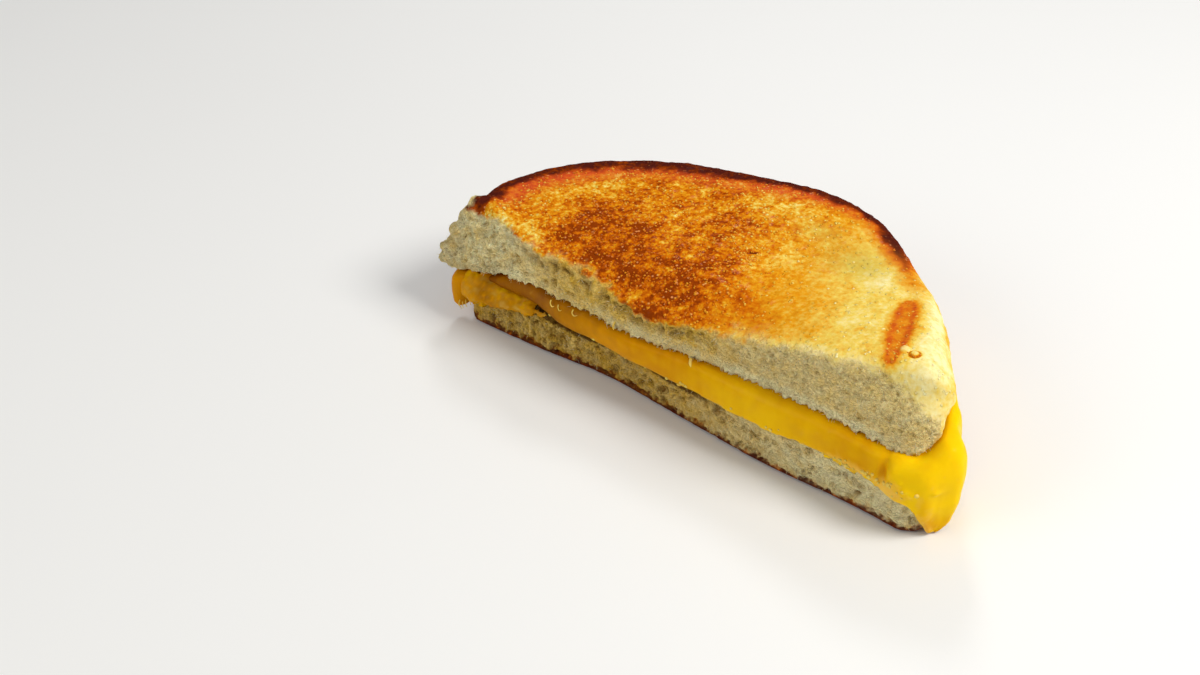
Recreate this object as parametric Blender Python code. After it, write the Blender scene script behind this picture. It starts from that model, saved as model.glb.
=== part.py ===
"""Half of a grilled cheese sandwich, lying on its lower slice of bread.

The sandwich was cut straight through its middle, so each layer has a D-shaped plan. The cut runs along X
and faces -Y, the crust curves round the back, and Z is up. Three solids lie on each other: the lower slice,
the melted cheese, which runs out at both ends of the cut and hangs down, and the upper slice, which is
pressed thin in the middle of the cut and puffed up at its right end.
"""

import math
from collections import namedtuple

import bmesh
import bpy
from mathutils import Vector, noise

MM = 0.001

# Plan of the layers, measured from the middle of the cut
LEFT_REACH = 61 * MM
UPPER_LEFT_REACH = 65.0 * MM
RIGHT_REACH = 61.6 * MM
DEPTH = 53.2 * MM
LEFT_FULLNESS = 2.3  # power of the curve: 2 is an ellipse, more is squarer
RIGHT_FULLNESS = 1.66
LEFT_TIP_RADIUS = 2.8 * MM  # where the cut turns into the crust
LOWER_TIP_RADIUS = 1.8 * MM
RIGHT_TIP_RADIUS = 5.5 * MM
CRUST_WAVE = 1.0 * MM  # uneven outline of the loaf
BACK_BULGE = 1.4 * MM  # of the outline, right of the middle of the back
BACK_RISE = 1.7 * MM  # of the upper slice there
BULGE_ANGLE = math.radians(77)  # seen from the middle of the cut, 0 at the right tip
BULGE_WIDTH = math.radians(30)

# How far the cut wandered: place along it, width, and distance out (negative) or in
Wander = namedtuple("Wander", "x width out")
LOWER_CUT = (
    Wander(-20 * MM, 15 * MM, 1.5 * MM),
    Wander(28 * MM, 20 * MM, -2.0 * MM),
    Wander(61 * MM, 15 * MM, -2.3 * MM),
)
UPPER_CUT = (Wander(-9 * MM, 10 * MM, -1.1 * MM), Wander(28 * MM, 12 * MM, 0.5 * MM))

# Heights above the surface it lies on
CHEESE_FLOOR = 11.4 * MM
CHEESE_ROOF = 18.1 * MM
BACK_ROOF = 16.6 * MM  # the layers are pressed together towards the crust
LEFT_TIP_SAG = 5.2 * MM
LEFT_BACK_SAG = 3.8 * MM  # of the same end, towards the crust
LEFT_STEP = 1.0 * MM  # the lower slice is higher behind the bare strip at the left
FRONT_SAG = 0.8 * MM  # of the roof along the cut
RIGHT_SAG = 1.0 * MM
TOP_HEIGHT = 29.8 * MM
PUFF = 5.4 * MM  # rise of the upper slice at its right end
PRESSED = 4.8 * MM  # dip of the upper slice in the middle of the cut
PRESSED_WIDTH = 30 * MM
PRESSED_REACH = 8 * MM
LAYER_GAP = 0.3 * MM

# Ends of the upper slice
LEFT_FOOT = 3.1 * MM  # how far the torn left end sticks out at its foot
LEFT_SLOPE = 6.2 * MM  # how far it leans in from there to the top
LEFT_SLOPE_POWER = 2.2  # 1 is a straight slope, more is fuller at mid height
LEFT_LEAN = 5.0 * MM  # how far the cut leans back at the left end
RIGHT_LEAN = 4.6 * MM  # and at the right end
RIGHT_TUCK = 0.9 * MM  # the upper slice ends a little short of the lower one
KNOB = 3.4 * MM  # the crumb that sticks out at the left tip
KNOB_PLACE = Vector((-66.5, -1, 12.6)) * MM
KNOB_SPREAD = 4.0 * MM

# Relief, carved inwards from the outline so that the layers never meet
CRUMB_RELIEF = 0.9 * MM
LOWER_CRUMB_RELIEF = 0.6 * MM
CRUST_RELIEF = 0.55 * MM
TOAST_RELIEF = 0.35 * MM

# Faces along the cut, from cut to crust, and up the side of each solid
UPPER_GRID = (46, 13, 7)
LOWER_GRID = (46, 13, 4)
CHEESE_GRID = (46, 13, 11)

TOASTED_BREAD = (0.66, 0.31, 0.06, 1.0)
PALE_BREAD = (0.62, 0.46, 0.21, 1.0)
MELTED_CHEESE = (0.86, 0.42, 0.02, 1.0)

# Radii of the four rims of a slice: outer rims are toasted, inner rims touch the cheese
Rims = namedtuple("Rims", "outer_crust outer_cut inner_crust inner_cut")
UPPER_RIMS = Rims(4.2 * MM, 1.7 * MM, 1.8 * MM, 0.5 * MM)
LOWER_RIMS = Rims(3.2 * MM, 0.6 * MM, 1.2 * MM, 0.8 * MM)
RIGHT_END_RIMS = Rims(8.2 * MM, 4.5 * MM, 5.0 * MM, 1.2 * MM)  # softer, where the upper slice is puffed
BARE_RIM = 3.0 * MM  # where the lower slice slopes down to the cut, at the left

# Where melted cheese runs out: place on the edge, width, thickness outside the bread, and drop
Flow = namedtuple("Flow", "x y spread thickness drop")
FLOWS = (
    Flow(63.5 * MM, 4 * MM, 4.4 * MM, 4.6 * MM, 26 * MM),
    Flow(61 * MM, 13 * MM, 5.0 * MM, 1.7 * MM, 9 * MM),
    Flow(56 * MM, -1 * MM, 4.5 * MM, 0.8 * MM, 2.4 * MM),
    Flow(24 * MM, -2 * MM, 13 * MM, 0.4 * MM, 0.1 * MM),
    Flow(-14 * MM, 0 * MM, 12 * MM, 0.5 * MM, 0.2 * MM),
    Flow(-61 * MM, 1 * MM, 4.8 * MM, 3.4 * MM, 9.0 * MM),
    Flow(-52 * MM, 33 * MM, 7.0 * MM, 1.5 * MM, 3.5 * MM),
    Flow(-6 * MM, 54 * MM, 9.0 * MM, 1.3 * MM, 1.6 * MM),
    Flow(33 * MM, 39 * MM, 6.0 * MM, 2.2 * MM, 5.0 * MM),
)
FRONT_NOSE = 1.2 * MM  # least thickness of cheese outside the cut
BACK_NOSE = 0.5 * MM
FRONT_DROP = 0.3 * MM
LEFT_RECESS = 2.2 * MM  # the ribbon lies further in at the left of the cut
CURTAIN_GAP = 0.4 * MM  # between hanging cheese and the bread, and above the ground
NOSE_SQUARENESS = 0.64  # 1 is a round nose, less is squarer
HANGING_SQUARENESS = 0.24
NOSE_SKEW = 0.1  # how much thicker hanging cheese is at its top than at its tip


def mix(a, b, share):
    return a + (b - a) * share


def smooth_step(start, end, value):
    """0 before start, 1 after end, and smooth between them. start may be larger than end."""
    share = min(1.0, max(0.0, (value - start) / (end - start)))
    return share * share * (3 - 2 * share)


def bell(value, centre, width):
    return math.exp(-(((value - centre) / width) ** 2))


def rough(point, size, seed):
    """Smooth noise from about -1 to 1, with features of the given size."""
    return noise.noise(Vector(point) / size + Vector((seed, 2 * seed, 3 * seed)))


def carved(point, size, seed):
    """Noise from 0 to 1, for relief that only cuts inwards."""
    return 0.5 - 0.5 * max(-1.0, min(1.0, 1.6 * rough(point, size, seed)))


# Plan: every layer is a box whose sides are bent to the outline

def reach_towards(angle, left_reach):
    """Distance from the middle of the cut to the crust. Angle 0 is the right tip and pi the left tip."""
    across, back = math.cos(angle), math.sin(angle)
    leftness = smooth_step(0.65, -0.65, across)
    reach = mix(RIGHT_REACH, left_reach, leftness)
    power = mix(RIGHT_FULLNESS, LEFT_FULLNESS, leftness)
    distance = (abs(across / reach) ** power + abs(back / DEPTH) ** power) ** (-1 / power)
    wave = rough((across, back, 0), 0.45, 4.1) * smooth_step(0.05, 0.5, back)
    return distance + CRUST_WAVE * wave + BACK_BULGE * bell(angle, BULGE_ANGLE, BULGE_WIDTH)


def cut_line(x, left_reach, level):
    """Y of the cut at x, on the lower slice (level 0), on the upper one (level 1) or between them."""
    right_radius = mix(LOWER_TIP_RADIUS, RIGHT_TIP_RADIUS, level)
    reach, radius = (RIGHT_REACH, right_radius) if x > 0 else (left_reach, LEFT_TIP_RADIUS)
    into_tip = min(1.0, max(0.0, (abs(x) - (reach - radius)) / radius))
    lower = sum(w.out * bell(x, w.x, w.width) for w in LOWER_CUT)
    upper = sum(w.out * bell(x, w.x, w.width) for w in UPPER_CUT)
    straight = smooth_step(1.0, 0.92, abs(x) / reach)
    return radius * (1 - math.sqrt(1 - into_tip**2)) + mix(lower, upper, level) * straight


def plan_place(along, back, left_reach, level):
    """Plan point of the box point (along from -1 to 1, back from 0 at the cut to 1 at the crust).

    Returns x, y, and the distances from the cut and from the crust. Both ways, the points crowd towards the
    edges, where the rims are rounded.
    """
    u = math.sin(along * math.pi / 2)
    v = (1 - math.cos(back * math.pi)) / 2
    across = u * math.sqrt(1 - v * v / 2)
    inward = v * math.sqrt(1 - u * u / 2)
    share = math.hypot(across, inward)
    angle = math.atan2(inward, across)
    reach = reach_towards(angle, left_reach)
    x = share * reach * math.cos(angle)
    y = share * reach * math.sin(angle)
    from_cut = y
    y += cut_line(x, left_reach, level) * (1 - v) ** 2
    return x, y, from_cut, (1 - share) * reach


def edge_place(turn):
    """Box point on the edge of the plan, for turn from 0 to 4: cut, right side, crust, left side."""
    turn %= 4
    if turn < 1:
        return 2 * turn - 1, 0.0
    if turn < 2:
        return 1.0, turn - 1
    if turn < 3:
        return 5 - 2 * turn, 1.0
    return -1.0, 4 - turn


def turn_of(along, back):
    if back <= 0:
        return (along + 1) / 2
    if along >= 1:
        return 1 + back
    if back >= 1:
        return (5 - along) / 2
    return 4 - back


def outward(along, back, left_reach, level):
    """Plan direction that points away from the sandwich at an edge point."""
    step = 0.02
    turn = turn_of(along, back)
    before = plan_place(*edge_place(turn - step), left_reach, level)
    after = plan_place(*edge_place(turn + step), left_reach, level)
    return Vector((after[1] - before[1], before[0] - after[0], 0)).normalized()


def is_edge(along, back):
    return abs(along) >= 1 or back <= 0 or back >= 1


# Heights

def rounding(distance, radius):
    """How far a rounded rim falls below the flat surface at this distance from the edge."""
    inset = min(1.0, max(0.0, distance / radius))
    return radius * (1 - math.sqrt(1 - (1 - inset) ** 2))


def rim_fall(from_cut, from_crust, cut_radius, crust_radius):
    """Fall of a surface towards its rims, one along the cut and one along the crust."""
    return max(rounding(from_crust, crust_radius), rounding(from_cut, cut_radius))


def bare_strip(x):
    """1 where the ribbon of cheese lies behind the cut, at the left."""
    return smooth_step(-30 * MM, -42 * MM, x) * smooth_step(-61 * MM, -54 * MM, x)


def right_end(x):
    return smooth_step(36 * MM, 60 * MM, x)


def cheese_floor(x, y):
    step = LEFT_STEP * bare_strip(x) * smooth_step(18 * MM, 5 * MM, y)
    return CHEESE_FLOOR + step + 0.3 * MM * rough((x, y, 0), 21 * MM, 1.3)


def cheese_roof(x, y):
    level = mix(CHEESE_ROOF, BACK_ROOF, smooth_step(12 * MM, 45 * MM, y))
    level -= FRONT_SAG * bell(x, -16 * MM, 24 * MM) * smooth_step(8 * MM, 0, y)
    level -= RIGHT_SAG * bell(x, 55 * MM, 12 * MM) * smooth_step(8 * MM, 0, y)
    left_sag = mix(LEFT_TIP_SAG, LEFT_BACK_SAG, smooth_step(8 * MM, 28 * MM, y))
    level -= left_sag * smooth_step(-41 * MM, -59 * MM, x)
    return level + 0.3 * MM * rough((x, y, 0), 23 * MM, 2.7)


def upper_underside(x, y, from_cut, from_crust):
    crust_radius = mix(UPPER_RIMS.inner_crust, RIGHT_END_RIMS.inner_crust, right_end(x))
    cut_radius = mix(UPPER_RIMS.inner_cut, RIGHT_END_RIMS.inner_cut, right_end(x))
    return cheese_roof(x, y) + rim_fall(from_cut, from_crust, cut_radius, crust_radius)


def upper_topside(x, y, from_cut, from_crust):
    crust_radius = mix(UPPER_RIMS.outer_crust, RIGHT_END_RIMS.outer_crust, right_end(x))
    cut_radius = mix(UPPER_RIMS.outer_cut, RIGHT_END_RIMS.outer_cut, right_end(x))
    level = TOP_HEIGHT + PUFF * smooth_step(12 * MM, 58 * MM, x) * smooth_step(50 * MM, 8 * MM, y)
    level += BACK_RISE * bell(math.atan2(y, x), BULGE_ANGLE, BULGE_WIDTH) * smooth_step(24 * MM, 46 * MM, y)
    level -= PRESSED * bell(x, -8 * MM, PRESSED_WIDTH) * bell(from_cut, 0, PRESSED_REACH)
    level += 0.6 * MM * rough((x, y, 0), 19 * MM, 5.2)
    level -= TOAST_RELIEF * carved((x, y, 0), 6 * MM, 6.4)
    return level - rim_fall(from_cut, from_crust, cut_radius, crust_radius)


def lower_topside(x, y, from_cut, from_crust):
    cut_radius = mix(LOWER_RIMS.inner_cut, BARE_RIM, bare_strip(x))
    fall = rim_fall(from_cut, from_crust, cut_radius, LOWER_RIMS.inner_crust)
    return cheese_floor(x, y) - LAYER_GAP - fall


def lower_underside(x, y, from_cut, from_crust):
    return rim_fall(from_cut, from_crust, LOWER_RIMS.outer_cut, LOWER_RIMS.outer_crust)


# Solids

def box_shell(columns, rows, layers):
    """A closed box of quads from (-1, 0, 0) to (1, 1, 1)."""
    bm = bmesh.new()
    bmesh.ops.create_grid(bm, x_segments=columns, y_segments=rows, size=1)
    bmesh.ops.scale(bm, vec=(1, 0.5, 1), verts=bm.verts)
    bmesh.ops.translate(bm, vec=(0, 0.5, 0), verts=bm.verts)
    raised = bmesh.ops.extrude_face_region(bm, geom=bm.faces[:])["geom"]
    bmesh.ops.translate(bm, vec=(0, 0, 1), verts=[v for v in raised if isinstance(v, bmesh.types.BMVert)])
    posts = [e for e in bm.edges if abs(e.verts[0].co.z - e.verts[1].co.z) > 0.5]
    bmesh.ops.subdivide_edges(bm, edges=posts, cuts=layers - 1, use_grid_fill=True)
    bmesh.ops.recalc_face_normals(bm, faces=bm.faces)
    return bm


def add_solid(name, bm, material, parent):
    mesh = bpy.data.meshes.new(name)
    bmesh.ops.triangulate(bm, faces=bm.faces)
    if bm.calc_volume(signed=True) < 0:
        bmesh.ops.reverse_faces(bm, faces=bm.faces)
    bm.to_mesh(mesh)
    bm.free()
    mesh.shade_smooth()
    mesh.materials.append(material)
    solid = bpy.data.objects.new(name, mesh)
    solid.parent = parent
    bpy.context.scene.collection.objects.link(solid)
    return solid


def slice_point(co, underside, topside, plan, lean, cut_carving):
    """Place of a box point on a slice of bread that lies between two height functions."""
    along, back, height = co
    x, y, from_cut, from_crust = plan_place(along, back, *plan)
    shift = lean(x, y, height)
    x += shift.x
    y += shift.y
    low = underside(x, y, from_cut, from_crust)
    high = topside(x, y, from_cut, from_crust)
    place = Vector((x, y, mix(low, high, height)))
    if is_edge(along, back) and 0 < height < 1:
        side = outward(along, back, *plan)
        cutness = smooth_step(0.2, 0.8, -side.y)
        depth = mix(CRUST_RELIEF, cut_carving, cutness) * carved(place, 4.5 * MM, 7.9)
        place -= side * depth * math.sin(math.pi * height) ** 0.5
    return place


def upright(x, y, height):
    return Vector((0, 0))


def upper_lean(x, y, height):
    """Plan shift of the upper slice: its left end slopes in, and its cut leans back at the right."""
    left_tip = smooth_step(-38 * MM, -60 * MM, x) * smooth_step(20 * MM, 1 * MM, y)
    right_front = right_end(x) * smooth_step(20 * MM, 0, y)
    inwards = (LEFT_SLOPE * height**LEFT_SLOPE_POWER - LEFT_FOOT) * left_tip
    back = LEFT_LEAN * height * left_tip + RIGHT_LEAN * smooth_step(0.3, 1, height) * right_front
    return Vector((inwards - RIGHT_TUCK * right_end(x), back))


def upper_slice(material, parent):
    bm = box_shell(*UPPER_GRID)
    plan = (UPPER_LEFT_REACH, 1)
    for vert in bm.verts:
        place = slice_point(vert.co, upper_underside, upper_topside, plan, upper_lean, CRUMB_RELIEF)
        place.x -= KNOB * math.exp(-(place - KNOB_PLACE).length_squared / KNOB_SPREAD**2)
        vert.co = place
    return add_solid("bread_top", bm, material, parent)


def lower_slice(material, parent):
    bm = box_shell(*LOWER_GRID)
    plan = (LEFT_REACH, 0)
    for vert in bm.verts:
        vert.co = slice_point(vert.co, lower_underside, lower_topside, plan, upright, LOWER_CRUMB_RELIEF)
    return add_solid("bread_bottom", bm, material, parent)


def cheese_run(x, y, side):
    """Thickness outside the bread and drop below the cheese's floor, at an edge point."""
    frontness = smooth_step(0.3, 0.9, -side.y)
    thickness = mix(BACK_NOSE, FRONT_NOSE, frontness)
    drop = mix(0, FRONT_DROP, frontness)
    wave = 0.5 + 0.5 * rough((x, y, 0), 9 * MM, 8.3)
    drop *= wave * 1.6
    for flow in FLOWS:
        share = math.exp(-((x - flow.x) ** 2 + (y - flow.y) ** 2) / flow.spread**2)
        thickness += flow.thickness * share
        drop += flow.drop * share
    return thickness, drop


def nose_point(height, floor, roof, thickness, drop):
    """Distance outside the bread and height of the cheese's side, for height from 0 (floor) to 1 (roof).

    The side first runs down the bread to the drip's tip, then round the tip and up the outside.
    """
    tip = max(CURTAIN_GAP, floor - drop)
    down = floor - tip
    around = (roof - tip) + 2 * thickness
    bend = down / (down + around)
    if height < bend:
        return CURTAIN_GAP, mix(floor, tip, height / bend)
    swing = math.pi * ((height - bend) / (1 - bend) - 0.5)
    rise = 0.5 + 0.5 * math.copysign(abs(math.sin(swing)) ** NOSE_SQUARENESS, swing)
    hanging = smooth_step(2 * MM, 9 * MM, down) * smooth_step(0.6, 0.4, rise)
    squareness = mix(NOSE_SQUARENESS, HANGING_SQUARENESS, hanging)
    out = thickness * math.cos(swing) ** squareness * (1 + NOSE_SKEW * hanging * (rise - 0.6))
    return CURTAIN_GAP + out, mix(tip, roof, rise)


def cheese_point(co):
    along, back, height = co
    x, y, from_cut, from_crust = plan_place(along, back, LEFT_REACH, height)
    recess = LEFT_RECESS * bare_strip(x) * smooth_step(9 * MM, 0, from_cut)
    y += recess
    from_cut += recess
    rim = mix(0.3, 0.03, right_end(x))  # a rounded rim is followed no further out than this share of it
    top_cut = max(from_cut, rim * mix(UPPER_RIMS.inner_cut, RIGHT_END_RIMS.inner_cut, right_end(x)))
    top_crust = max(from_crust, rim * mix(UPPER_RIMS.inner_crust, RIGHT_END_RIMS.inner_crust, right_end(x)))
    top_crust += 7 * MM * smooth_step(-20 * MM, -44 * MM, x)  # the upper slice reaches further out here
    roof = upper_underside(x, y, top_cut, top_crust) - LAYER_GAP
    floor = cheese_floor(x, y) - rim_fall(from_cut, from_crust, 0.5 * MM, 0.5 * MM)
    place = Vector((x, y, mix(floor, roof, height)))
    if is_edge(along, back):
        side = outward(along, back, LEFT_REACH, height)
        thickness, drop = cheese_run(x, y, side)
        hidden = smooth_step(0, 0.12, recess / LEFT_RECESS)
        out, place.z = nose_point(height, floor, roof, mix(thickness, 0.8 * MM, hidden), mix(drop, 0, hidden))
        place += side * out
    return place


def cheese_layer(material, parent):
    bm = box_shell(*CHEESE_GRID)
    for vert in bm.verts:
        vert.co = cheese_point(vert.co)
    return add_solid("cheese", bm, material, parent)


def plain_material(name, colour, roughness):
    material = bpy.data.materials.new(name)
    material.use_nodes = True
    shader = material.node_tree.nodes["Principled BSDF"]
    shader.inputs["Base Color"].default_value = colour
    shader.inputs["Roughness"].default_value = roughness
    shader.inputs["Metallic"].default_value = 0.0
    material.diffuse_color = colour
    return material


def centre_on_origin(holder, solids):
    """Moves the sandwich so that the origin is below the middle of its box, on the ground."""
    bpy.context.view_layer.update()
    corners = [solid.matrix_world @ v.co for solid in solids for v in solid.data.vertices]
    low = Vector([min(c[i] for c in corners) for i in range(3)])
    high = Vector([max(c[i] for c in corners) for i in range(3)])
    holder.location -= Vector(((low.x + high.x) / 2, (low.y + high.y) / 2, low.z))


def build():
    for old in list(bpy.data.objects):
        bpy.data.objects.remove(old)
    holder = bpy.data.objects.new("sandwich_half", None)
    bpy.context.scene.collection.objects.link(holder)
    solids = [
        lower_slice(plain_material("lower_bread", PALE_BREAD, 0.8), holder),
        cheese_layer(plain_material("melted_cheese", MELTED_CHEESE, 0.3), holder),
        upper_slice(plain_material("toasted_bread", TOASTED_BREAD, 0.6), holder),
    ]
    centre_on_origin(holder, solids)


build()
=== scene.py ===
import math
import random
from collections import namedtuple

import bmesh
import bpy
import numpy as np
from bpy.props import FloatProperty, FloatVectorProperty, IntProperty, PointerProperty
from mathutils import Matrix, Vector, kdtree, noise
from mathutils.bvhtree import BVHTree


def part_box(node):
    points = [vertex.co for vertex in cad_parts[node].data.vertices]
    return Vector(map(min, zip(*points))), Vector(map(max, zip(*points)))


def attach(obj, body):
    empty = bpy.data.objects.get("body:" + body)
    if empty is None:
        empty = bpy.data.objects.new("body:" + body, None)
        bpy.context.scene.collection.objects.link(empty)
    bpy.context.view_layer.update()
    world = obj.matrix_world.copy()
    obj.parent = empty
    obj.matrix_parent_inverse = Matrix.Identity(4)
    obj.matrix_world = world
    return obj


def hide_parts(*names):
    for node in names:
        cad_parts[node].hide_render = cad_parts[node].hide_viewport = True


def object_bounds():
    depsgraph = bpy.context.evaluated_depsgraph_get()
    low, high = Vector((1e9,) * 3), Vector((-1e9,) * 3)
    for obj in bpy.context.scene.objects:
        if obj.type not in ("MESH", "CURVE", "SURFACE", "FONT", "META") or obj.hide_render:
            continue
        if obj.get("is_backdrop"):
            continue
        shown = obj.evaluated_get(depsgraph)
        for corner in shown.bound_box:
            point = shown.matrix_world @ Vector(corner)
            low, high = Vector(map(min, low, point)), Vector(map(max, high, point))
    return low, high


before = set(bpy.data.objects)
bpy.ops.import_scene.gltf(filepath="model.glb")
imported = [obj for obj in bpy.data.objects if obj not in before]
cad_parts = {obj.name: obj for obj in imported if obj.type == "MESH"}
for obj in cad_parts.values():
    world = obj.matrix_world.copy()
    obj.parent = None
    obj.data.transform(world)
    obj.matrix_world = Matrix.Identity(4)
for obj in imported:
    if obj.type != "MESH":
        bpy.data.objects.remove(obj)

bl_info = {
    "name": "Grilled Cheese Half",
    "version": (1, 0, 0),
    "blender": (4, 5, 0),
    "location": "3D View > Sidebar > Sandwich",
    "description": "Browns the bread and melts the cheese of half a grilled cheese sandwich",
    "category": "Object",
}

CAD_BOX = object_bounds()
MM = 0.001
SEED = 11

# The pieces are shaped in mm, from the middle of the cut: X along it, Y in from it, Z up from the ground
LOWER_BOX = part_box("bread_bottom")
MIDDLE = Vector((LOWER_BOX[0].x + 61.0 * MM, LOWER_BOX[0].y + 2.36 * MM, 0.0))
CUT = 1.0  # where the surface of the cut usually is
FAR = 1000.0
MERGE_DISTANCE = 0.01 * MM


def paint(red, green, blue):
    """A colour given as it shows on a screen, from 0 to 255, as Blender's linear values."""
    shares = (value / 255 for value in (red, green, blue))
    return tuple(s / 12.92 if s <= 0.04045 else ((s + 0.055) / 1.055) ** 2.4 for s in shares)


def settings_of(kind, **fixed):
    """Makes settings of one kind from their name, what they are and their usual value."""
    def setting(name, description, default, **more):
        return kind(name=name, description=description, default=default, min=0, **{**fixed, **more})
    return setting


length = settings_of(FloatProperty, subtype="DISTANCE", unit="LENGTH")
share = settings_of(FloatProperty, max=1.0, subtype="FACTOR")
colour = settings_of(FloatVectorProperty, max=1.0, size=3, subtype="COLOR")
count = settings_of(IntProperty)
power = settings_of(FloatProperty, subtype="POWER")


class BreadLook(bpy.types.PropertyGroup):
    grain: length("Mesh grain", "Size of the faces that the slices are made of", 0.55 * MM)
    pore: length("Pore size", "Usual distance between the holes of the crumb", 1.25 * MM)
    pore_depth: length("Pore depth", "Depth of the holes of the crumb", 0.8 * MM)
    blister: length("Blister height", "Height of the blisters of the browned faces", 0.17 * MM)
    browning: share("Browning", "How dark the pan made the bread", 0.5)
    speckle: share("Speckle", "How much the browned faces are mottled", 0.6)
    cream: colour("Unbrowned", "The palest skin of the bread", paint(250, 238, 176))
    straw: colour("Straw", "Lightly browned bread", paint(238, 206, 92))
    golden: colour("Golden", "Golden browned bread", paint(228, 156, 26))
    orange: colour("Orange", "Well browned bread", paint(210, 112, 10))
    russet: colour("Russet", "Bread that the pan browned most", paint(172, 74, 8))
    umber: colour("Umber", "The darkest patches", paint(118, 44, 8))
    char: colour("Char", "The rim of the crust", paint(80, 28, 20))
    blush: colour("Blush", "The reddish bread beside the crust", paint(214, 78, 42))
    # Painted highlight: the colour of the small pale spots that stand in for glints on the browned bread
    glint: colour("Glints", "Small shiny bubbles of the browned bread", paint(246, 170, 112))
    green: colour("Greenish", "The greyish green patch of the pale skin", paint(196, 172, 74))
    crumb: colour("Crumb", "Fresh crumb", paint(255, 243, 188))
    crumb_oily: colour("Buttered crumb", "Crumb soaked with butter", paint(242, 196, 76))
    crumb_shade: colour("Crumb shade", "The inside of the pores", paint(168, 128, 46))
    dark_foot_and_gap_shadow: colour("Dark crumb", "The gap under the cheese and the foot of the cut", paint(66, 34, 10))
    brown_and_shaded_crumb: colour("Browned crumb", "The deepest hollows of the crumb", paint(104, 62, 22))


class CheeseLook(bpy.types.PropertyGroup):
    grain: length("Mesh grain", "Size of the faces that the cheese is made of", 0.6 * MM)
    closing: length("Closing", "How far the cheese swells to touch the bread", 0.32 * MM)
    wave: length("Waves", "Height of the waves of the melted cheese", 0.22 * MM)
    bright: colour("Bright cheese", "Cheese where it is thick", paint(255, 206, 10))
    # Painted shade: the cheese where it lies recessed in shade under the upper slice
    deep: colour("Deep cheese", "Cheese in the narrow part of the ribbon", paint(140, 80, 0))
    gap: colour("Gap", "The shade between the cheese and the lower slice", paint(84, 44, 6))
    amber: colour("Amber cheese", "Cheese where it is thinner", paint(216, 145, 0))
    film: colour("Thin cheese", "The film of cheese on the lower slice", paint(248, 198, 84))
    gloss: share("Roughness", "Roughness of the cheese", 0.34)


class TrimLook(bpy.types.PropertyGroup):
    crumbs: share("Crumbs", "How many loose crumbs lie along the cut, against the usual", 1.0, max=4.0)
    fibres: count("Fibres", "How many fibres stand out of the crumb", 1400)
    beads: count("Butter beads", "How many beads of butter shine on the toast", 2300)
    crumb_size: length("Crumb size", "Usual size of a loose crumb", 0.36 * MM)
    fibre_size: length("Fibre length", "Usual length of a fibre", 0.9 * MM)
    bead_size: length("Bead size", "Usual size of a bead of butter", 0.24 * MM)
    crumb: colour("Loose crumb", "Loose crumbs and strands", paint(253, 216, 100))
    fibre: colour("Fibre", "Fibres of the crumb", paint(244, 230, 178))


class StageLook(bpy.types.PropertyGroup):
    floor: colour("Floor", "The surface under the sandwich", (0.9, 0.9, 0.89))
    key: power("Key light", "Power of the large light", 3.6)
    fill: power("Fill light", "Power of the fill light", 1.2)
    glint: power("Glint light", "Power of the small light", 0.9)
    sky: share("Surrounding light", "Strength of the light from all round", 0.32, max=4.0)
    lens: FloatProperty(name="Focal length", description="Of the camera, in mm", default=48.0, min=10.0)


# Shapes

Place = namedtuple("Place", "x y")


def rise(start, end, values):
    """0 before start, 1 after end, and smooth between them. start may be larger than end."""
    part = np.clip((values - start) / (end - start), 0.0, 1.0)
    return part * part * (3 - 2 * part)


def bell(values, centre, width):
    return np.exp(-(((values - centre) / width) ** 2))


def spots_at(across, along, spots):
    """Sum of soft spots, in the plan or on the cut, each given by its place, two radii and its amount."""
    total = np.zeros_like(across)
    for x, y, radius_x, radius_y, amount in spots:
        total += amount * np.exp(-(((across - x) / radius_x) ** 2 + ((along - y) / radius_y) ** 2))
    return total


def waves(points, size, seed, octaves=1):
    """Smooth noise from about -1 to 1. size is a number, or one for each axis."""
    shift = Vector((seed, 1.7 * seed, 2.3 * seed))
    scaled = points / np.asarray(size)
    return np.array([noise.fractal(Vector(p) + shift, 0.6, 2.0, octaves) for p in scaled])


def cells(points, size, seed):
    """Distance from each point to the nearest of many scattered centres, in cells, how clearly it is the
    nearest, and a number from 0 to 1 that belongs to that centre."""
    shift = Vector((seed, 1.7 * seed, 2.3 * seed))
    scaled = points / np.asarray(size)
    near = np.empty(len(points))
    wall = np.empty(len(points))
    own = np.empty(len(points))
    for number, point in enumerate(scaled):
        distances, centres = noise.voronoi(Vector(point) + shift)
        near[number] = distances[0]
        wall[number] = distances[1] - distances[0]
        own[number] = noise.cell(centres[0] * 9.7)
    return near, wall, 0.5 + 0.5 * own


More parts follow.
